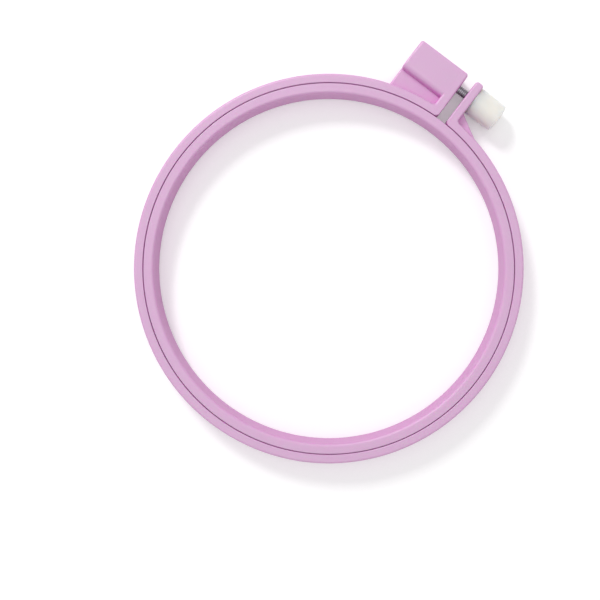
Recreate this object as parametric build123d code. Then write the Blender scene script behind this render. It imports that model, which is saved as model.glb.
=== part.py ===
from build123d import *
import math
import os

# A screw-closed embroidery hoop, lying flat. Sizes are in millimetres.
# The origin is the centre of the rings at half their height. Z is the axis of the rings,
# the gap of the outer ring faces +Y, and the screw lies along X with its knob on +X.

# Both rings
hoop_height = 12.7
ring_clearance = 0.25
seam_edge_radius = 0.45

# Inner ring
inner_ring_diameter = 152.4
inner_ring_wall = 4.2
inner_ring_edge_radius = 1.4

# Outer ring, with the gap between its ends
outer_ring_wall = 3.75
outer_ring_edge_radius = 1.25
gap_width = 4.18
gap_corner_radius = 1.45

# Ears, the two upright walls that the screw draws together
left_ear_thickness = 4.0
right_ear_thickness = 3.65
ear_reach = 18.1
ear_corner_radius = 1.3
ear_edge_radius = 0.6

# Lug behind the left ear, hollow from below
lug_length = 24.0
lug_width = 14.0
lug_edge_radius = 1.7
lug_end_edge_radius = 0.6
lug_end_wall = 2.0

# Web between the lug and the ring, and gusset behind the right ear
web_thickness = 6.0
web_edge_radius = 0.6
gusset_reach = 12.0
gusset_rise = 5.0

# Clamp screw, a threaded stud moulded into the knob
screw_diameter = 4.17
thread_pitch = 0.794
thread_depth = 0.487
thread_crest = 0.1
screw_free_length = 25.4
shank_length = 9.5
screw_axis_inset = 5.9

# Knob, which clears the table that the hoop lies on
knob_table_clearance = 0.15
knob_taper = 0.55
knob_length = 12.45
knob_dome_height = 0.92
knob_rim_radius = 0.4
knob_base_edge_radius = 0.3

# Square nut
nut_across_flats = 8.73
nut_thickness = 3.3
nut_corner_chamfer = 0.5
nut_bore_chamfer = 0.3

# Clearances and fits
screw_hole_clearance = 0.45
channel_clearance = 0.8
nut_running_clearance = 0.06
nut_side_clearance = 0.45
nut_face_clearance = 0.2
knob_seat_gap = 0.05
shank_grip = 0.02

# How far the parts of one moulding run into each other, and how far a cut runs past its work
moulding_overlap = 1.0
overrun = 1.0

# Places that follow from the sizes
half_height = hoop_height / 2
inner_ring_radius = inner_ring_diameter / 2
seam_radius = inner_ring_radius + ring_clearance
outer_ring_radius = seam_radius + outer_ring_wall
wall_middle_radius = seam_radius + outer_ring_wall / 2
half_gap = gap_width / 2
lug_outer_y = outer_ring_radius + ear_reach
lug_inner_y = lug_outer_y - lug_width
lug_end_x = -half_gap - lug_length
left_ear_back_x = -half_gap - left_ear_thickness
right_ear_back_x = half_gap + right_ear_thickness
screw_axis_y = lug_outer_y - screw_axis_inset
screw_radius = screw_diameter / 2
knob_face_x = right_ear_back_x + knob_seat_gap
knob_base_radius = half_height - knob_table_clearance
knob_end_radius = knob_base_radius - knob_taper / 2


def ring(inner_radius, outer_radius, inner_edge_radius, outer_edge_radius):
    """Turned ring of the hoop's height, with its four edges rounded."""
    wall = outer_radius - inner_radius
    with BuildPart() as turned:
        with BuildSketch(Plane.XZ) as section:
            with Locations((inner_radius + wall / 2, 0)):
                Rectangle(wall, hoop_height)
            inner_corners = section.vertices().group_by(Axis.X)[0]
            outer_corners = section.vertices().group_by(Axis.X)[-1]
            fillet(inner_corners, radius=inner_edge_radius)
            fillet(outer_corners, radius=outer_edge_radius)
        revolve(axis=Axis.Z)
    return turned.part


def inner_ring():
    """Closed ring that the fabric is laid over."""
    wall_radius = inner_ring_radius - inner_ring_wall
    return ring(wall_radius, inner_ring_radius, inner_ring_edge_radius, seam_edge_radius)


def gap_tool():
    """Slot through the ring, flared at top and bottom so that the ring's ends are rounded."""
    with BuildPart() as tool:
        with BuildSketch(Plane.XZ):
            Rectangle(gap_width + 2 * ear_edge_radius, hoop_height + 2 * overrun)
            for side in (-1, 1):
                with Locations((side * (half_gap + outer_ring_wall / 2), 0)):
                    RectangleRounded(outer_ring_wall, hoop_height, ear_edge_radius, mode=Mode.SUBTRACT)
        extrude(amount=-(outer_ring_radius + overrun))
    return tool.part


def seam_corner_tool(side):
    """Prism that rounds the upright corner where one side of the gap meets the bore."""
    reach = seam_radius + gap_corner_radius
    centre_x = half_gap + gap_corner_radius
    centre_y = math.sqrt(reach**2 - centre_x**2)
    inside_share = (seam_radius - overrun) / reach
    outline = [
        (0, centre_y * inside_share),
        (side * centre_x * inside_share, centre_y * inside_share),
        (side * centre_x, centre_y),
        (0, centre_y),
    ]
    with BuildPart() as tool:
        with BuildSketch():
            with BuildLine():
                Polyline(*outline, close=True)
            make_face()
            with Locations((side * centre_x, centre_y)):
                Circle(gap_corner_radius, mode=Mode.SUBTRACT)
        extrude(amount=half_height + overrun, both=True)
    return tool.part


def split_ring():
    """Springy ring with the gap cut through it and the corners of its ends rounded."""
    closed = ring(seam_radius, outer_ring_radius, seam_edge_radius, outer_ring_edge_radius)
    return closed - gap_tool() - seam_corner_tool(-1) - seam_corner_tool(1)


def ear(side, thickness, rounded_corners):
    """Upright wall beside the gap, as high as the ring, rooted in the middle of the ring's wall."""
    length = lug_outer_y - wall_middle_radius
    with BuildPart() as wall:
        with BuildSketch() as outline:
            with Locations((side * (half_gap + thickness / 2), wall_middle_radius + length / 2)):
                Rectangle(thickness, length)
            outer_corners = outline.vertices().group_by(Axis.Y)[-1].sort_by(Axis.X)
            fillet(outer_corners[-rounded_corners:], radius=ear_corner_radius)
        extrude(amount=half_height, both=True)
        for level in (0, -1):
            rim = wall.faces().sort_by(Axis.Z)[level].edges().sort_by(Axis.Y)[1:]
            fillet(rim, radius=ear_edge_radius)
    return wall.part


def lug():
    """Long block behind the left ear that hides the nut and the end of the screw."""
    length = left_ear_back_x + moulding_overlap - lug_end_x
    with BuildPart() as block:
        with Locations((lug_end_x + length / 2, lug_inner_y + lug_width / 2, 0)):
            Box(length, lug_width, hoop_height)
        fillet(block.edges().filter_by(Axis.X), radius=lug_edge_radius)
        fillet(block.faces().sort_by(Axis.X)[0].edges(), radius=lug_end_edge_radius)
    return block.part


def ring_core():
    """Solid inside the middle of the outer ring's wall, cut away from the plates that root there."""
    return Cylinder(wall_middle_radius, hoop_height + 2 * overrun)


def web():
    """Plate at half height that fills the space between the lug and the ring."""
    length = left_ear_back_x + moulding_overlap - lug_end_x
    width = lug_inner_y + lug_edge_radius
    with BuildPart() as plate:
        with Locations((lug_end_x + length / 2, width / 2, 0)):
            Box(length, width, web_thickness)
        end_edges = plate.faces().sort_by(Axis.X)[0].edges().filter_by(Axis.Y)
        fillet(end_edges, radius=web_edge_radius)
    return plate.part - ring_core()


def gusset():
    """Three-cornered plate at half height that braces the right ear against the ring."""
    ear_y = math.sqrt(outer_ring_radius**2 - right_ear_back_x**2)
    foot_x = right_ear_back_x + gusset_reach
    foot_y = math.sqrt(outer_ring_radius**2 - foot_x**2)
    slope = (ear_y + gusset_rise - foot_y) / gusset_reach
    outline = [
        (right_ear_back_x - moulding_overlap, ear_y + gusset_rise + slope * moulding_overlap),
        (foot_x + moulding_overlap, foot_y - slope * moulding_overlap),
        (foot_x + moulding_overlap, 0),
        (right_ear_back_x - moulding_overlap, 0),
    ]
    with BuildPart() as plate:
        with BuildSketch():
            with BuildLine():
                Polyline(*outline, close=True)
            make_face()
        extrude(amount=web_thickness / 2, both=True)
        sloping_face = plate.faces().sort_by(Axis.Y)[-1]
        fillet(sloping_face.edges().filter_by(Axis.Z, reverse=True), radius=web_edge_radius)
    return plate.part - ring_core()


def screw_hole():
    """Round hole through both ears."""
    length = right_ear_back_x - left_ear_back_x + 2 * overrun
    middle_x = (right_ear_back_x + left_ear_back_x) / 2
    bar = Cylinder(screw_radius + screw_hole_clearance, length)
    return Pos(middle_x, screw_axis_y, 0) * Rot(0, 90, 0) * bar


def screw_channel():
    """Round-topped channel in the lug, open from below, that the screw's end moves in."""
    radius = screw_radius + channel_clearance
    depth = half_height + overrun
    start_x = lug_end_x + lug_end_wall
    length = left_ear_back_x - start_x
    bar = Pos(start_x + length / 2, screw_axis_y, 0) * Rot(0, 90, 0) * Cylinder(radius, length)
    slot = Pos(start_x + length / 2, screw_axis_y, -depth / 2) * Box(length, 2 * radius, depth)
    return bar + slot


def nut_pocket():
    """Pocket behind the left ear, open from below, that the nut is dropped into."""
    length = nut_thickness + 2 * nut_face_clearance
    half_width = nut_across_flats / 2 + nut_side_clearance
    depth = half_width + half_height + overrun
    return Pos(left_ear_back_x - length / 2, screw_axis_y, half_width - depth / 2) * Box(
        length, 2 * half_width, depth
    )


def outer_ring():
    """Whole outer moulding: split ring, ears, lug, web and gusset, hollowed for screw and nut."""
    body = split_ring() + web() + gusset() + lug()
    body = body + ear(-1, left_ear_thickness, 1) + ear(1, right_ear_thickness, 2)
    return body - screw_hole() - screw_channel() - nut_pocket()


def clamp_screw():
    """Stud with a plain shank in the knob and a thread drawn as closed ridges."""
    root_radius = screw_radius - thread_depth
    flank = (thread_pitch - 2 * thread_crest) / 2
    turns = int(screw_free_length / thread_pitch)
    profile = [(shank_length, 0), (shank_length, screw_radius)]
    for turn in range(turns):
        start = -turn * thread_pitch
        profile.append((start, screw_radius))
        profile.append((start - thread_crest, screw_radius))
        profile.append((start - thread_crest - flank, root_radius))
        profile.append((start - 2 * thread_crest - flank, root_radius))
    profile.append((-screw_free_length, root_radius))
    profile.append((-screw_free_length, 0))
    with BuildPart() as stud:
        with BuildSketch():
            with BuildLine():
                Polyline(*profile, close=True)
            make_face()
        revolve(axis=Axis.X)
    return Pos(knob_face_x, screw_axis_y, 0) * stud.part


def screw_knob():
    """Smooth, slightly tapered knob with a domed end and a blind hole for the shank."""
    bore_radius = screw_radius - shank_grip
    dome_radius = (knob_end_radius**2 + knob_dome_height**2) / (2 * knob_dome_height)
    dome_centre = knob_length + knob_dome_height - dome_radius
    half_angle = math.asin(knob_end_radius / dome_radius) / 2
    dome_middle = (
        dome_centre + dome_radius * math.cos(half_angle),
        dome_radius * math.sin(half_angle),
    )
    rim = (knob_length, knob_end_radius)
    tip = (knob_length + knob_dome_height, 0)
    with BuildPart() as knob:
        with BuildSketch() as section:
            with BuildLine():
                Polyline(tip, (shank_length, 0), (shank_length, bore_radius), (0, bore_radius))
                Polyline((0, bore_radius), (0, knob_base_radius), rim)
                ThreePointArc(rim, dome_middle, tip)
            make_face()
            outermost = section.vertices().sort_by(Axis.Y)
            fillet(outermost[-2], radius=knob_rim_radius)
            fillet(section.vertices().sort_by(Axis.Y)[-1], radius=knob_base_edge_radius)
        revolve(axis=Axis.X)
    return Pos(knob_face_x, screw_axis_y, 0) * knob.part


def square_nut():
    """Square nut on the screw, just behind the left ear."""
    bore_radius = screw_radius + nut_running_clearance
    middle_x = left_ear_back_x - nut_face_clearance - nut_thickness / 2
    with BuildPart() as nut:
        Box(nut_thickness, nut_across_flats, nut_across_flats)
        chamfer(nut.edges().filter_by(Axis.X), length=nut_corner_chamfer)
        with Locations(Rot(0, 90, 0)):
            Cylinder(bore_radius, nut_thickness, mode=Mode.SUBTRACT)
        chamfer(nut.edges().filter_by(GeomType.CIRCLE), length=nut_bore_chamfer)
    return Pos(middle_x, screw_axis_y, 0) * nut.part


moulding = outer_ring()
nodes = {
    "outer_ring_left": split(moulding, bisect_by=Plane.YZ, keep=Keep.BOTTOM),
    "outer_ring_right": split(moulding, bisect_by=Plane.YZ, keep=Keep.TOP),
    "inner_ring": inner_ring(),
    "clamp_screw": clamp_screw(),
    "screw_knob": screw_knob(),
    "square_nut": square_nut(),
}

os.makedirs("parts", exist_ok=True)
for name, solid in nodes.items():
    export_step(solid, f"parts/{name}.step")
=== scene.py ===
import math

import bmesh
import bpy
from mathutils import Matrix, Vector


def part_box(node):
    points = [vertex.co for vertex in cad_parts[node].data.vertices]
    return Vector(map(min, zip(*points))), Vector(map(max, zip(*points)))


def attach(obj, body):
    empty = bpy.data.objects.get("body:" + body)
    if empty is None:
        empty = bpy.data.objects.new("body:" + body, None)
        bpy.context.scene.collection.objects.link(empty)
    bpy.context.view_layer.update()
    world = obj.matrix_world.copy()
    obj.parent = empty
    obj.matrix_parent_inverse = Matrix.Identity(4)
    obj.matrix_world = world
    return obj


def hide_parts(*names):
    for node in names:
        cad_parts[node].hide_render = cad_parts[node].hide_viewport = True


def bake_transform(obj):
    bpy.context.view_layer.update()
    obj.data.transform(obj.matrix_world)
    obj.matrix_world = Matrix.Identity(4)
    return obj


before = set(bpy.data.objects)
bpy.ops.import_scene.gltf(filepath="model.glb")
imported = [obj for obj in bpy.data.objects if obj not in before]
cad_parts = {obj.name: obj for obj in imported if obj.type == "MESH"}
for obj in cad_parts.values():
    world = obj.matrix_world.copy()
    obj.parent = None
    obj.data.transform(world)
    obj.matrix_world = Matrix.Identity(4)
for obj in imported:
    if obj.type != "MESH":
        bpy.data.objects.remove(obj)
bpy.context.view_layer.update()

# The outer ring is one springy moulding of lilac plastic, cut through at one place. An ear stands on
# each side of the gap. A long lug runs back from the left ear, with a web between it and the ring, and a
# gusset braces the right ear. It is moulded in one shot, with every edge rounded.
right_low, right_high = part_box("outer_ring_right")
half_height = right_high.z
ring_radius = -right_low.y
ear_tip_y = right_high.y
ring_wall = 0.00375
seam_radius = ring_radius - ring_wall
half_gap = 0.00209
left_ear_thickness = 0.004
right_ear_thickness = 0.00365
left_ear_back_x = -half_gap - left_ear_thickness
right_ear_back_x = half_gap + right_ear_thickness

ring_edge_radius = 0.0011
seam_edge_radius = 0.0004
ear_edge_radius = 0.0008
left_ear_edge_radius = 0.001
ear_corner_radius = 0.0013
ear_root_radius = 0.0012
seam_corner_radius = 0.0019

ring_facet_degrees = 1
corner_facet_degrees = 10
small_corner_facet_degrees = 30
edge_facets = 7
stretch_spacing = 0.0008


def new_piece(name, vertices, faces):
    """Object at the origin with that closed mesh, its faces pointing outwards."""
    mesh = bpy.data.meshes.new(name)
    mesh.from_pydata([tuple(vertex) for vertex in vertices], [], faces)
    shell = bmesh.new()
    shell.from_mesh(mesh)
    bmesh.ops.recalc_face_normals(shell, faces=shell.faces)
    shell.to_mesh(mesh)
    shell.free()
    piece = bpy.data.objects.new(name, mesh)
    bpy.context.scene.collection.objects.link(piece)
    return piece


def arc(centre, radius, start, end, edge_radius, facet_degrees=corner_facet_degrees):
    """Points of an arc, each with its normal and edge radius.
    A clockwise arc is hollow, so its normals point inwards."""
    count = max(2, math.ceil(abs(end - start) / facet_degrees))
    side = 1 if end > start else -1
    run = []
    for index in range(count + 1):
        angle = math.radians(start + (end - start) * index / count)
        outwards = Vector((math.cos(angle), math.sin(angle)))
        run.append((Vector(centre) + outwards * radius, outwards * side, edge_radius))
    return run


def closed_outline(*runs):
    """Arcs joined by straight stretches. Points along these let the edge radius change smoothly."""
    outline = []
    for run, following in zip(runs, runs[1:] + runs[:1]):
        outline += run
        (start, normal, edge_radius), (end, _, next_radius) = run[-1], following[0]
        count = max(1, round((end - start).length / stretch_spacing))
        for index in range(1, count):
            share = index / count
            smooth_share = share * share * (3 - 2 * share)
            here_radius = edge_radius + (next_radius - edge_radius) * smooth_share
            outline.append((start.lerp(end, share), normal, here_radius))
    return outline


def rounded_prism(name, outline, low, high, along="z"):
    """Solid between two levels, with its edges rounded by the radius that each point gives."""
    turns = [math.radians(90 * facet / edge_facets) for facet in range(edge_facets + 1)]
    levels = [(turn, low, 1) for turn in reversed(turns)] + [(turn, high, -1) for turn in turns]
    vertices = []
    for turn, level, side in levels:
        for point, normal, edge_radius in outline:
            place = point - normal * edge_radius * (1 - math.cos(turn))
            height = level + side * edge_radius * (1 - math.sin(turn))
            vertices.append((place.x, place.y, height) if along == "z" else (height, place.x, place.y))
    count = len(outline)
    faces = [tuple(reversed(range(count))), tuple(range(len(vertices) - count, len(vertices)))]
    for row in range(len(levels) - 1):
        for index in range(count):
            following = (index + 1) % count
            start, above = row * count, (row + 1) * count
            faces.append((start + index, start + following, above + following, above + index))
    return new_piece(name, vertices, faces)


def make_plain(piece):
    """Turns what the modifiers make into the piece's own mesh."""
    mesh = bpy.data.meshes.new_from_object(piece.evaluated_get(bpy.context.evaluated_depsgraph_get()))
    piece.modifiers.clear()
    piece.data = mesh


def combine(piece, tool, operation):
    """Joins the tool to the piece, or cuts it away, and takes the tool off the bench."""
    modifier = piece.modifiers.new("Combine", "BOOLEAN")
    modifier.operation = operation
    modifier.solver = "MANIFOLD"
    modifier.object = tool
    make_plain(piece)
    bpy.data.objects.remove(tool)


crease_degrees = 35


def smooth_surface(piece):
    """Smooth shading that keeps flat faces flat, with a crease where two faces meet at a sharper angle."""
    piece.data.shade_smooth()
    piece.data.set_sharp_from_angle(angle=math.radians(crease_degrees))
    modifier = piece.modifiers.new("Flat faces", "WEIGHTED_NORMAL")
    modifier.keep_sharp = True
    make_plain(piece)


def ear_root(back_x, side):
    """Centre of the hollow corner between an ear's back and the ring, and the direction from it
    to the ring's centre."""
    x = back_x + side * ear_root_radius
    centre = Vector((x, math.sqrt((ring_radius + ear_root_radius) ** 2 - x**2)))
    return centre, math.degrees(math.atan2(-centre.y, -centre.x))


def moulding_outline():
    """The split ring with its two ears, seen from above."""
    left_root, left_angle = ear_root(left_ear_back_x, -1)
    right_root, right_angle = ear_root(right_ear_back_x, 1)
    seam_x = half_gap + seam_corner_radius
    seam_y = math.sqrt((seam_radius + seam_corner_radius) ** 2 - seam_x**2)
    seam_angle = math.degrees(math.atan2(seam_y, seam_x))
    tip_y = ear_tip_y - ear_corner_radius
    right_tip_x = right_ear_back_x - ear_corner_radius
    gap_tip_x = half_gap + ear_corner_radius
    left_tip_x = left_ear_back_x + ear_corner_radius
    return closed_outline(
        arc((left_tip_x, tip_y), ear_corner_radius, 90, 180, left_ear_edge_radius),
        arc(left_root, ear_root_radius, 0, left_angle, left_ear_edge_radius),
        arc((0, 0), ring_radius, left_angle + 180, right_angle + 540, ring_edge_radius, ring_facet_degrees),
        arc(right_root, ear_root_radius, right_angle, -180, ear_edge_radius),
        arc((right_tip_x, tip_y), ear_corner_radius, 0, 90, ear_edge_radius),
        arc((gap_tip_x, tip_y), ear_corner_radius, 90, 180, ear_edge_radius),
        arc((seam_x, seam_y), seam_corner_radius, 180, seam_angle + 180, seam_edge_radius),
        arc((0, 0), seam_radius, seam_angle, -180 - seam_angle, seam_edge_radius, ring_facet_degrees),
        arc((-seam_x, seam_y), seam_corner_radius, -seam_angle, 0, seam_edge_radius),
        arc((-gap_tip_x, tip_y), ear_corner_radius, 0, 90, left_ear_edge_radius),
    )


lug_reach = 0.024
lug_width = 0.014
lug_end_x = -half_gap - lug_reach
lug_inner_y = ear_tip_y - lug_width
lug_inner_edge_radius = 0.0024
lug_outer_edge_radius = 0.001
lug_inner_end_radius = 0.0007
lug_outer_end_radius = 0.0012
flush_step = 0.00001
root_depth = 0.0015


def lug():
    """Block behind the left ear with a broad shoulder towards the ring. It roots in the ear."""
    inner_y, outer_y = lug_inner_y, ear_tip_y - flush_step
    top = half_height - flush_step
    inner, outer = lug_inner_edge_radius, lug_outer_edge_radius
    outline = closed_outline(
        arc((outer_y - outer, outer - top), outer, -90, 0, lug_outer_end_radius),
        arc((outer_y - outer, top - outer), outer, 0, 90, lug_outer_end_radius),
        arc((inner_y + inner, top - inner), inner, 90, 180, lug_inner_end_radius),
        arc((inner_y + inner, inner - top), inner, 180, 270, lug_inner_end_radius),
    )
    return rounded_prism("lug", outline, lug_end_x, left_ear_back_x + root_depth, along="x")


wall_middle_radius = (ring_radius + seam_radius) / 2
half_web = 0.003
plate_edge_radius = 0.0006
plate_corner_radius = 0.0004
gusset_reach = 0.012
gusset_rise = 0.005


def plate(name, corners):
    """Flat plate at half height, rounded along its edges. Its corners go anticlockwise."""
    runs = []
    for before, here, after in zip(corners[-1:] + corners[:-1], corners, corners[1:] + corners[:1]):
        arriving, leaving = (here - before).normalized(), (after - here).normalized()
        normal = Vector((arriving.y, -arriving.x))
        turn = math.atan2(arriving.x * leaving.y - arriving.y * leaving.x, arriving.dot(leaving))
        centre = here - plate_corner_radius * (arriving * math.tan(turn / 2) + normal)
        start = math.degrees(math.atan2(normal.y, normal.x))
        end = start + math.degrees(turn)
        runs.append(
            arc(centre, plate_corner_radius, start, end, plate_edge_radius, small_corner_facet_degrees)
        )
    return rounded_prism(name, closed_outline(*runs), -half_web, half_web)


def on_wall(x):
    """Point in the middle of the ring's wall, at that place along X."""
    return Vector((x, math.sqrt(wall_middle_radius**2 - x**2)))


def web():
    """Plate between the lug and the ring, flush with the lug's end."""
    end_x, ear_x = lug_end_x + flush_step, left_ear_back_x + root_depth
    lug_y = lug_inner_y + root_depth
    return plate("web", [on_wall(end_x), on_wall(ear_x), Vector((ear_x, lug_y)), Vector((end_x, lug_y))])


def gusset():
    """Three-cornered plate between the right ear and the ring."""
    ear_x, foot_x = right_ear_back_x, right_ear_back_x + gusset_reach
    ear_y = math.sqrt(ring_radius**2 - ear_x**2) + gusset_rise
    foot_y = math.sqrt(ring_radius**2 - foot_x**2)
    run_in = Vector((-1, (ear_y - foot_y) / gusset_reach)) * root_depth
    high, foot = Vector((ear_x, ear_y)) + run_in, Vector((foot_x, foot_y)) - run_in
    return plate("gusset", [on_wall(high.x), on_wall(foot_x), foot, high])


screw_inset = 0.0059
screw_axis_y = ear_tip_y - screw_inset
hole_radius = 0.002535
channel_radius = 0.002885
lug_end_wall = 0.002
pocket_length = 0.0037
pocket_half_width = 0.004815
pocket_corner_radius = 0.0004
cut_edge_radius = 0.0002


def screw_hole():
    """Round bar that clears the screw in both ears. Its second half starts a facet later, so that
    no point comes twice."""
    facet = corner_facet_degrees
    outline = closed_outline(
        arc((screw_axis_y, 0), hole_radius, 0, 180, cut_edge_radius),
        arc((screw_axis_y, 0), hole_radius, 180 + facet, 360 - facet, cut_edge_radius),
    )
    low_x, high_x = left_ear_back_x - root_depth, right_ear_back_x + root_depth
    return rounded_prism("screw_hole", outline, low_x, high_x, along="x")


def screw_channel():
    """Round-topped channel in the lug, open from below, that the screw's end moves in."""
    below = -half_height - root_depth
    outline = closed_outline(
        arc((screw_axis_y, 0), channel_radius, 0, 180, cut_edge_radius),
        [(Vector((screw_axis_y - channel_radius, below)), Vector((-1, 0)), cut_edge_radius)],
        [(Vector((screw_axis_y + channel_radius, below)), Vector((1, 0)), cut_edge_radius)],
    )
    return rounded_prism("screw_channel", outline, lug_end_x + lug_end_wall, left_ear_back_x, along="x")


def rounded_rectangle(low, high, radius, edge_radius):
    """Outline of a rectangle between two corners, with a small rounding at all four."""
    (low_x, low_y), (high_x, high_y) = low, high
    centres = [
        (low_x + radius, low_y + radius),
        (high_x - radius, low_y + radius),
        (high_x - radius, high_y - radius),
        (low_x + radius, high_y - radius),
    ]
    runs = []
    for quarter, centre in enumerate(centres):
        start = (180 + 90 * quarter) % 360
        runs.append(arc(centre, radius, start, start + 90, edge_radius, small_corner_facet_degrees))
    return closed_outline(*runs)


def nut_pocket():
    """Pocket behind the left ear, open from below, that the nut is dropped into."""
    low = left_ear_back_x - pocket_length, screw_axis_y - pocket_half_width
    high = left_ear_back_x, screw_axis_y + pocket_half_width
    outline = rounded_rectangle(low, high, pocket_corner_radius, cut_edge_radius)
    return rounded_prism("nut_pocket", outline, -half_height - root_depth, pocket_half_width)


outer_ring = rounded_prism("outer_ring", moulding_outline(), -half_height, half_height)
for part in (lug(), web(), gusset()):
    combine(outer_ring, part, "UNION")
for cut in (screw_hole(), screw_channel(), nut_pocket()):
    combine(outer_ring, cut, "DIFFERENCE")
smooth_surface(outer_ring)


def add_node(tree, kind, inputs=None, **settings):
    """Node in a tree. inputs gives its sockets' values, or the sockets that they are linked from."""
    node = tree.nodes.new(kind)
    for name, value in settings.items():
        setattr(node, name, value)
    for name, value in (inputs or {}).items():
        if isinstance(value, bpy.types.NodeSocket):
            tree.links.new(value, node.inputs[name])
        else:
            node.inputs[name].default_value = value
    return node


def maths(tree, operation, *values, **settings):
    """Result of one sum, whose values are numbers or sockets."""
    inputs = dict(enumerate(values))
    return add_node(tree, "ShaderNodeMath", inputs, operation=operation, **settings).outputs[0]


def mixed_colour(tree, share, first_colour, second_colour):
    """Colour that goes from the first to the second as the share rises from 0 to 1."""
    inputs = {"Factor": share, "A": first_colour, "B": second_colour}
    return add_node(tree, "ShaderNodeMix", inputs, data_type="RGBA").outputs["Result"]


corner_samples = 8


def open_share(tree, reach):
    """1 where the surface is open as far as the reach, and less in a corner of the same piece."""
    corners = add_node(
        tree, "ShaderNodeAmbientOcclusion", {"Distance": reach}, samples=corner_samples, only_local=True
    )
    return corners.outputs["AO"]


def new_material(name):
    """Material, with its tree and its shader."""
    material = bpy.data.materials.new(name)
    material.use_nodes = True
    tree = material.node_tree
    return material, tree, tree.nodes["Principled BSDF"]


corner_reach = 0.006
plastic_roughness = 0.45
plastic_specular = 0.8
plastic_cloud_scale = 90.0
plastic_cloud_detail = 2.0
deepest_tone = 0.98
palest_tone = 1.02
skin_scale = 700.0
skin_detail = 3.0
skin_strength = 0.12
skin_relief = 0.0001


def moulded_plastic(name, painted_face_tone, painted_wall_tone, painted_corner_shade, light_depth, glow_share):
    """Plastic from the mould, with light and shade painted into its colour: one tone on flat faces, one on
    walls and one in corners, as they look under the studio light. Some of the light goes in, to the depth
    that is given for red, green and blue."""
    material, tree, shader = new_material(name)
    shader.inputs["Roughness"].default_value = plastic_roughness
    shader.inputs["Specular IOR Level"].default_value = plastic_specular
    shader.inputs["Subsurface Weight"].default_value = glow_share
    shader.inputs["Subsurface Radius"].default_value = light_depth
    shader.inputs["Subsurface Scale"].default_value = 1.0
    # Painted light and shade: flat faces and walls get their own tones by the way they face, and corners a
    # painted shade.
    normal = add_node(tree, "ShaderNodeNewGeometry").outputs["Normal"]
    facing = add_node(tree, "ShaderNodeSeparateXYZ", {"Vector": normal}).outputs["Z"]
    flatness = maths(tree, "ABSOLUTE", facing)
    painted_open_tone = mixed_colour(tree, flatness, (*painted_wall_tone, 1), (*painted_face_tone, 1))
    plastic_with_painted_light = mixed_colour(tree, open_share(tree, corner_reach), (*painted_corner_shade, 1), painted_open_tone)
    place = add_node(tree, "ShaderNodeTexCoord").outputs["Object"]
    cloud = add_node(
        tree,
        "ShaderNodeTexNoise",
        {"Vector": place, "Scale": plastic_cloud_scale, "Detail": plastic_cloud_detail},
    )
    tone = add_node(
        tree,
        "ShaderNodeMapRange",
        {"Value": cloud.outputs["Fac"], "To Min": deepest_tone, "To Max": palest_tone},
    )
    clouded = add_node(
        tree,
        "ShaderNodeVectorMath",
        {0: plastic_with_painted_light, "Scale": tone.outputs["Result"]},
        operation="SCALE",
    )
    tree.links.new(clouded.outputs["Vector"], shader.inputs["Base Color"])
    skin = add_node(
        tree, "ShaderNodeTexNoise", {"Vector": place, "Scale": skin_scale, "Detail": skin_detail}
    )
    bump = add_node(
        tree,
        "ShaderNodeBump",
        {"Height": skin.outputs["Fac"], "Strength": skin_strength, "Distance": skin_relief},
    )
    tree.links.new(bump.outputs["Normal"], shader.inputs["Normal"])
    return material


# Lilac tones: the paler face tone is a painted sheen on flat faces, the deeper wall tone is painted shade
# on walls, and the corner colour is painted shade in creases.
lilac_painted_face_tone = (0.620, 0.375, 0.580)
lilac_painted_wall_tone = (0.610, 0.260, 0.540)
lilac_painted_corner_shade = (0.700, 0.245, 0.610)
lilac_light_depth = (0.004, 0.0014, 0.0032)
lilac_glow_share = 0.3

lilac_plastic = moulded_plastic(
    "lilac_plastic", lilac_painted_face_tone, lilac_painted_wall_tone, lilac_painted_corner_shade, lilac_light_depth, lilac_glow_share
)
outer_ring.data.materials.clear()
outer_ring.data.materials.append(lilac_plastic)
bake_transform(outer_ring)
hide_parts("outer_ring_left", "outer_ring_right")


# The inner ring is a closed ring of the same lilac plastic, which the fabric is laid over before the
# outer ring goes on. It is moulded with broad roundings towards the hole and small ones at the seam.
inner_ring_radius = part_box("inner_ring")[1].x
inner_ring_wall = 0.0042
bore_edge_radius = 0.0012
ring_facets = 360
ring_edge_facets = 8


def set_inputs(modifier, values):
    """Gives the tree's named inputs their values."""
    sockets = {socket.name: socket.identifier for socket in modifier.node_group.interface.items_tree}
    for name, value in values.items():
        modifier[sockets[name]] = value


def new_tree(name, sizes):
    """Geometry tree with one named input for each size, and one for the material that it sets."""
    tree = bpy.data.node_groups.new(name, "GeometryNodeTree")
    for size in sizes:
        tree.interface.new_socket(size, in_out="INPUT", socket_type="NodeSocketFloat")
    tree.interface.new_socket("Material", in_out="INPUT", socket_type="NodeSocketMaterial")
    tree.interface.new_socket("Geometry", in_out="OUTPUT", socket_type="NodeSocketGeometry")
    return tree, add_node(tree, "NodeGroupInput").outputs


def close_tree(tree, geometry, sizes):
    """Ends the tree in plain faces that wear the material."""
    real = add_node(tree, "GeometryNodeRealizeInstances", {"Geometry": geometry})
    dressed = add_node(
        tree,
        "GeometryNodeSetMaterial",
        {"Geometry": real.outputs["Geometry"], "Material": sizes["Material"]},
    )
    add_node(tree, "NodeGroupOutput", {"Geometry": dressed.outputs["Geometry"]})


def grown_piece(name, tree, values):
    """Piece at the origin that the tree makes from those sizes, as a plain mesh."""
    piece = bpy.data.objects.new(name, bpy.data.meshes.new(name))
    bpy.context.scene.collection.objects.link(piece)
    modifier = piece.modifiers.new(name, "NODES")
    modifier.node_group = tree
    set_inputs(modifier, values)
    make_plain(piece)
    return piece


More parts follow.
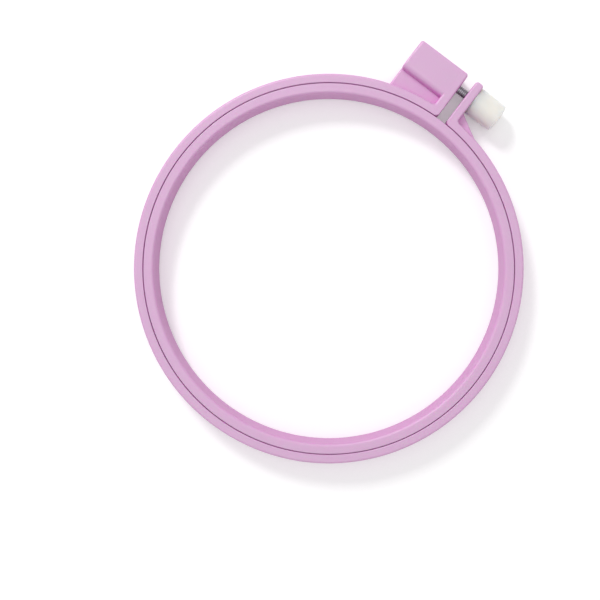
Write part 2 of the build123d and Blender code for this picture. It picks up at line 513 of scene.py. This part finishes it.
def ring_tree():
    """A rectangle with rounded corners, swept round a circle."""
    tree, sizes = new_tree(
        "Turned ring", ["Outer radius", "Wall", "Height", "Bore edge radius", "Seam edge radius"]
    )
    half_wall = maths(tree, "MULTIPLY", sizes["Wall"], 0.5)
    middle_radius = maths(tree, "SUBTRACT", sizes["Outer radius"], half_wall)
    circle = add_node(
        tree, "GeometryNodeCurvePrimitiveCircle", {"Resolution": ring_facets, "Radius": middle_radius}
    )
    upright = add_node(tree, "GeometryNodeSetCurveNormal", {"Curve": circle.outputs["Curve"]}, mode="Z_UP")
    section = add_node(
        tree,
        "GeometryNodeCurvePrimitiveQuadrilateral",
        {"Width": sizes["Wall"], "Height": sizes["Height"]},
    )
    place = add_node(tree, "GeometryNodeInputPosition").outputs["Position"]
    across = add_node(tree, "ShaderNodeSeparateXYZ", {"Vector": place}).outputs["X"]
    edge_radius = add_node(
        tree,
        "GeometryNodeSwitch",
        {
            "Switch": maths(tree, "GREATER_THAN", across, 0.0),
            "False": sizes["Bore edge radius"],
            "True": sizes["Seam edge radius"],
        },
        input_type="FLOAT",
    )
    rounded = add_node(
        tree,
        "GeometryNodeFilletCurve",
        {
            "Curve": section.outputs["Curve"],
            "Count": ring_edge_facets,
            "Radius": edge_radius.outputs["Output"],
        },
        mode="POLY",
    )
    swept = add_node(
        tree,
        "GeometryNodeCurveToMesh",
        {"Curve": upright.outputs["Curve"], "Profile Curve": rounded.outputs["Curve"]},
    )
    close_tree(tree, swept.outputs["Mesh"], sizes)
    return tree


inner_ring = grown_piece(
    "inner_ring_wall",
    ring_tree(),
    {
        "Outer radius": inner_ring_radius,
        "Wall": inner_ring_wall,
        "Height": 2 * half_height,
        "Bore edge radius": bore_edge_radius,
        "Seam edge radius": seam_edge_radius,
        "Material": lilac_plastic,
    },
)
smooth_surface(inner_ring)
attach(inner_ring, "inner_ring")
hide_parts("inner_ring")


# The clamp screw is a zinc-plated steel stud, threaded up to the knob that is moulded round its shank.
# It goes through both ears into the lug, where it turns in the nut.
screw_low, screw_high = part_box("clamp_screw")
screw_radius = screw_high.z
thread_start_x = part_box("screw_knob")[0].x
thread_pitch = 0.000794
thread_depth = 0.000487
thread_crest = 0.00015
run_out_share = 0.03
screw_facets = 48


def screw_tree():
    """A round core with a right-hand ridge wound round it, which fades out at both ends."""
    tree, sizes = new_tree(
        "Threaded stud",
        ["Low end", "Thread start", "High end", "Axis", "Radius", "Pitch", "Depth", "Crest", "Run-out"],
    )

    def bar(radius, length, middle):
        """Plain round bar that stands on Z, with its middle at that height."""
        cylinder = add_node(
            tree,
            "GeometryNodeMeshCylinder",
            {"Vertices": screw_facets, "Radius": radius, "Depth": length},
        )
        raised = add_node(
            tree,
            "GeometryNodeTransform",
            {
                "Geometry": cylinder.outputs["Mesh"],
                "Translation": add_node(tree, "ShaderNodeCombineXYZ", {"Z": middle}).outputs[0],
            },
        )
        return raised.outputs["Geometry"]

    core_radius = maths(tree, "SUBTRACT", sizes["Radius"], sizes["Depth"])
    thread_length = maths(tree, "SUBTRACT", sizes["Thread start"], sizes["Low end"])
    stud_length = maths(tree, "SUBTRACT", sizes["High end"], sizes["Low end"])
    shank_length = maths(tree, "SUBTRACT", sizes["High end"], sizes["Thread start"])
    spiral = add_node(
        tree,
        "GeometryNodeCurveSpiral",
        {
            "Resolution": screw_facets,
            "Rotations": maths(tree, "DIVIDE", thread_length, sizes["Pitch"]),
            "Start Radius": core_radius,
            "End Radius": core_radius,
            "Height": thread_length,
            "Reverse": True,
        },
    )
    upright = add_node(tree, "GeometryNodeSetCurveNormal", {"Curve": spiral.outputs["Curve"]}, mode="Z_UP")
    ridge = add_node(
        tree,
        "GeometryNodeCurvePrimitiveQuadrilateral",
        {
            "Bottom Width": maths(tree, "SUBTRACT", sizes["Pitch"], sizes["Crest"]),
            "Top Width": sizes["Crest"],
            "Offset": 0.0,
            "Height": maths(tree, "MULTIPLY", sizes["Depth"], 2.0),
        },
        mode="TRAPEZOID",
    )
    outwards = add_node(
        tree,
        "GeometryNodeTransform",
        {"Geometry": ridge.outputs["Curve"], "Rotation": (0, 0, -math.pi / 2)},
    )
    along = add_node(tree, "GeometryNodeSplineParameter").outputs["Factor"]
    nearest_end = maths(tree, "MINIMUM", along, maths(tree, "SUBTRACT", 1.0, along))
    wound = add_node(
        tree,
        "GeometryNodeCurveToMesh",
        {
            "Curve": upright.outputs["Curve"],
            "Profile Curve": outwards.outputs["Geometry"],
            "Scale": maths(tree, "DIVIDE", nearest_end, sizes["Run-out"], use_clamp=True),
            "Fill Caps": True,
        },
    )
    core = bar(core_radius, stud_length, maths(tree, "MULTIPLY", stud_length, 0.5))
    half_shank = maths(tree, "MULTIPLY", shank_length, 0.5)
    shank = bar(sizes["Radius"], shank_length, maths(tree, "ADD", thread_length, half_shank))
    joined = add_node(tree, "GeometryNodeJoinGeometry", {"Geometry": wound.outputs["Mesh"]})
    for part in (core, shank):
        tree.links.new(part, joined.inputs["Geometry"])
    place = add_node(tree, "ShaderNodeCombineXYZ", {"X": sizes["Low end"], "Y": sizes["Axis"]})
    laid = add_node(
        tree,
        "GeometryNodeTransform",
        {
            "Geometry": joined.outputs["Geometry"],
            "Translation": place.outputs[0],
            "Rotation": (0, math.pi / 2, 0),
        },
    )
    close_tree(tree, laid.outputs["Geometry"], sizes)
    return tree


# The dark colour for the thread's roots is painted shade.
zinc_colour = (0.50, 0.46, 0.52)
painted_root_shade = (0.03, 0.02, 0.03)
root_reach = 0.0006
root_open_share = 0.5
crest_open_share = 0.95
zinc_roughness = 0.2
zinc_roughness_spread = 0.06
zinc_cloud_scale = 900.0
zinc_cloud_detail = 2.0


def plated_steel(name):
    """Bright zinc plating, a little cloudy, with painted shade that darkens the thread's roots."""
    material, tree, shader = new_material(name)
    shader.inputs["Metallic"].default_value = 1
    # Painted shade: the roots darken where the thread closes them in.
    unshaded_share = add_node(
        tree,
        "ShaderNodeMapRange",
        {
            "Value": open_share(tree, root_reach),
            "From Min": root_open_share,
            "From Max": crest_open_share,
        },
    )
    painted_shade_metal = mixed_colour(tree, unshaded_share.outputs["Result"], (*painted_root_shade, 1), (*zinc_colour, 1))
    tree.links.new(painted_shade_metal, shader.inputs["Base Color"])
    place = add_node(tree, "ShaderNodeTexCoord").outputs["Object"]
    cloud = add_node(
        tree,
        "ShaderNodeTexNoise",
        {"Vector": place, "Scale": zinc_cloud_scale, "Detail": zinc_cloud_detail},
    )
    gloss = add_node(
        tree,
        "ShaderNodeMapRange",
        {
            "Value": cloud.outputs["Fac"],
            "To Min": zinc_roughness - zinc_roughness_spread,
            "To Max": zinc_roughness + zinc_roughness_spread,
        },
    )
    tree.links.new(gloss.outputs["Result"], shader.inputs["Roughness"])
    return material


steel = plated_steel("plated_steel")
stud = grown_piece(
    "threaded_stud",
    screw_tree(),
    {
        "Low end": screw_low.x,
        "Thread start": thread_start_x,
        "High end": screw_high.x,
        "Axis": screw_axis_y,
        "Radius": screw_radius,
        "Pitch": thread_pitch,
        "Depth": thread_depth,
        "Crest": thread_crest,
        "Run-out": run_out_share,
        "Material": steel,
    },
)
smooth_surface(stud)
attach(stud, "screw")
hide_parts("clamp_screw")


# The knob is smooth white nylon, with a slight taper and a domed end that is easy to grip. It is
# moulded round the shank of the screw and turns with it.
knob_low, knob_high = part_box("screw_knob")
knob_clearance = 0.00015
knob_taper = 0.000275
knob_base_radius = half_height - knob_clearance
knob_end_radius = knob_base_radius - knob_taper
knob_dome_height = 0.00092
knob_rim_radius = 0.0006
knob_base_edge_radius = 0.0003
knob_facets = 96
base_edge_facets = 6
rim_facets = 8
dome_facets = 12


def turned_piece(name, profile, facets):
    """Round piece about the screw's axis. Its profile gives places along X and the radius at each."""
    vertices, faces, rows = [], [], []
    for x, radius in profile:
        steps = facets if radius > 0 else 1
        rows.append(range(len(vertices), len(vertices) + steps))
        for step in range(steps):
            angle = math.tau * step / facets
            vertices.append((x, screw_axis_y + radius * math.cos(angle), radius * math.sin(angle)))
    for row, following in zip(rows, rows[1:]):
        for step in range(facets):
            ahead = (step + 1) % facets
            face = [row[step % len(row)], row[ahead % len(row)]]
            face += [following[ahead % len(following)], following[step % len(following)]]
            faces.append(tuple(dict.fromkeys(face)))
    return new_piece(name, vertices, faces)


def bend(centre_x, centre_radius, radius, start, end, facets):
    """Points of an arc in a profile, each as its place along X and its radius."""
    points = []
    for step in range(facets + 1):
        angle = math.radians(start + (end - start) * step / facets)
        points.append((centre_x + radius * math.cos(angle), centre_radius + radius * math.sin(angle)))
    return points


def knob_profile():
    """From the base's middle over its edge, the tapered side and the rim to the top of the dome."""
    base_x, tip_x = knob_low.x, knob_high.x
    rim_x = tip_x - knob_dome_height
    taper = math.atan2(knob_base_radius - knob_end_radius, rim_x - base_x)
    side_angle = 90 - math.degrees(taper)
    edge_radius = knob_base_edge_radius
    edge_x, edge_centre_radius = base_x + edge_radius, knob_base_radius - edge_radius
    base_edge = bend(edge_x, edge_centre_radius, edge_radius, 180, side_angle, base_edge_facets)
    dome_radius = (knob_end_radius**2 + knob_dome_height**2) / (2 * knob_dome_height)
    dome_x = tip_x - dome_radius
    rim_centre_radius = knob_end_radius - knob_rim_radius
    rim_centre_x = dome_x + math.sqrt((dome_radius - knob_rim_radius) ** 2 - rim_centre_radius**2)
    rim_angle = math.degrees(math.atan2(rim_centre_radius, rim_centre_x - dome_x))
    rim = bend(rim_centre_x, rim_centre_radius, knob_rim_radius, side_angle, rim_angle, rim_facets)
    dome = bend(dome_x, 0, dome_radius, rim_angle, 0, dome_facets)
    return [(base_x, 0), *base_edge, *rim, *dome[1:-1], (tip_x, 0)]


# Nylon tones: the paler wall tone is painted light on the knob's sides, and the corner colour is a painted
# corner tone.
nylon_painted_face_tone = (0.75, 0.73, 0.68)
nylon_painted_wall_tone = (0.90, 0.88, 0.84)
nylon_painted_corner_shade = (0.78, 0.76, 0.71)
nylon_light_depth = (0.014, 0.012, 0.010)
nylon_glow_share = 1.0

white_nylon = moulded_plastic(
    "white_nylon", nylon_painted_face_tone, nylon_painted_wall_tone, nylon_painted_corner_shade, nylon_light_depth, nylon_glow_share
)
knob = turned_piece("knob", knob_profile(), knob_facets)
smooth_surface(knob)
knob.data.materials.append(white_nylon)
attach(knob, "screw")
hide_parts("screw_knob")


# The nut is a square zinc-plated steel nut, dropped into its pocket in the lug. The pocket's sides keep
# it from turning, so that it draws the lug along when the screw turns.
nut_low, nut_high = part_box("square_nut")
nut_corner_radius = 0.0005
nut_edge_radius = 0.0003
nut_bore_radius = 0.002145
nut_bore_facets = 48


def square_nut():
    """Square block with a round hole through it, flared at both ends."""
    half = nut_high.z
    low, high = (screw_axis_y - half, -half), (screw_axis_y + half, half)
    outline = rounded_rectangle(low, high, nut_corner_radius, nut_edge_radius)
    block = rounded_prism("nut", outline, nut_low.x, nut_high.x, along="x")
    flare = nut_edge_radius
    flared_radius = nut_bore_radius + 2 * flare
    bar = [(nut_low.x - flare, 0), (nut_low.x - flare, flared_radius)]
    bar += [(nut_low.x + flare, nut_bore_radius), (nut_high.x - flare, nut_bore_radius)]
    bar += [(nut_high.x + flare, flared_radius), (nut_high.x + flare, 0)]
    combine(block, turned_piece("nut_bore", bar, nut_bore_facets), "DIFFERENCE")
    return block


nut = square_nut()
smooth_surface(nut)
nut.data.materials.clear()
nut.data.materials.append(steel)
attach(nut, "nut")
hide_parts("square_nut")


# The table is a plain white board that the hoop lies flat on. It is as white further out, where the
# lamps reach less, as it is round the hoop.
table_half_width = 3.0
table_paint = (0.85, 0.85, 0.85, 1)
table_glow = 0.22
outer_table_glow = 0.5
near_distance = 0.16
far_distance = 0.7
white_light = (1, 1, 1, 1)


def seen_share(tree):
    """1 for what the camera sees, also in a reflection or through something clear, and 0 for the
    light that falls on other things."""
    rays = add_node(tree, "ShaderNodeLightPath").outputs
    mirrored = maths(tree, "MAXIMUM", rays["Is Glossy Ray"], rays["Is Transmission Ray"])
    return maths(tree, "MAXIMUM", rays["Is Camera Ray"], mirrored)


def white_table(name):
    """Flat white paint that glows a little where it is seen, and more the further it is from the hoop."""
    material, tree, _ = new_material(name)
    tree.nodes.clear()
    place = add_node(tree, "ShaderNodeTexCoord").outputs["Object"]
    distance = add_node(tree, "ShaderNodeVectorMath", {0: place}, operation="LENGTH")
    local_glow = add_node(
        tree,
        "ShaderNodeMapRange",
        {
            "Value": distance.outputs["Value"],
            "From Min": near_distance,
            "From Max": far_distance,
            "To Min": table_glow,
            "To Max": outer_table_glow,
        },
    )
    glow = maths(tree, "MULTIPLY", seen_share(tree), local_glow.outputs["Result"])
    paint = add_node(tree, "ShaderNodeBsdfDiffuse", {"Color": table_paint})
    light = add_node(tree, "ShaderNodeEmission", {"Color": white_light, "Strength": glow})
    both = add_node(tree, "ShaderNodeAddShader", {0: paint.outputs[0], 1: light.outputs[0]})
    add_node(tree, "ShaderNodeOutputMaterial", {"Surface": both.outputs[0]})
    return material


table_corners = []
for side_x, side_y in ((-1, -1), (1, -1), (1, 1), (-1, 1)):
    table_corners.append((side_x * table_half_width, side_y * table_half_width, -half_height))
table_mesh = bpy.data.meshes.new("table")
table_mesh.from_pydata(table_corners, [], [(0, 1, 2, 3)])
table = bpy.data.objects.new("table", table_mesh)
bpy.context.scene.collection.objects.link(table)
table.data.materials.append(white_table("white_table"))


# The light is a soft studio light: a broad lamp overhead, a smaller and stronger one high up on the
# lug's side, and a white room all round.
room_strength = 0.62
seen_room_strength = 1.0
overhead_place = (-0.05, 0.0, 1.2)
overhead_size = 0.9
overhead_power = 2.5
side_place = (-0.92, 0.39, 0.85)
side_size = 0.3
side_power = 7.5

room = bpy.data.worlds.new("white_room")
bpy.context.scene.world = room
room.use_nodes = True
room_tree = room.node_tree
room_light = add_node(
    room_tree,
    "ShaderNodeMapRange",
    {"Value": seen_share(room_tree), "To Min": room_strength, "To Max": seen_room_strength},
)
room_shader = room_tree.nodes["Background"]
room_shader.inputs["Color"].default_value = white_light
room_tree.links.new(room_light.outputs["Result"], room_shader.inputs["Strength"])


def soft_lamp(name, place, size, power):
    """Square lamp that faces the middle of the hoop."""
    lamp = bpy.data.lights.new(name, "AREA")
    lamp.size = size
    lamp.energy = power
    holder = bpy.data.objects.new(name, lamp)
    holder.location = place
    holder.rotation_euler = (-Vector(place)).to_track_quat("-Z", "Y").to_euler()
    bpy.context.scene.collection.objects.link(holder)


soft_lamp("overhead_lamp", overhead_place, overhead_size, overhead_power)
soft_lamp("side_lamp", side_place, side_size, side_power)


# The camera stands straight above the hoop's centre, a third of a metre up, with the gap towards the
# upper right. The hoop sits a little off the middle of the picture.
camera_height = 0.33935
camera_turn_degrees = 37.11
picture_width = 0.2462
picture_pixels = 600
hoop_right_pixels = 28.8
hoop_up_pixels = 31.43
sensor_width = 36
nearest_seen = 0.01

camera_data = bpy.data.cameras.new("camera")
camera_data.sensor_width = sensor_width
camera_data.lens = sensor_width * (camera_height - half_height) / picture_width
camera_data.shift_x = -hoop_right_pixels / picture_pixels
camera_data.shift_y = -hoop_up_pixels / picture_pixels
camera_data.clip_start = nearest_seen
camera = bpy.data.objects.new("camera", camera_data)
camera.location = (0, 0, camera_height)
camera.rotation_euler = (0, 0, math.radians(camera_turn_degrees))
bpy.context.scene.collection.objects.link(camera)
bpy.context.scene.camera = camera
bpy.context.scene.view_settings.view_transform = "Standard"
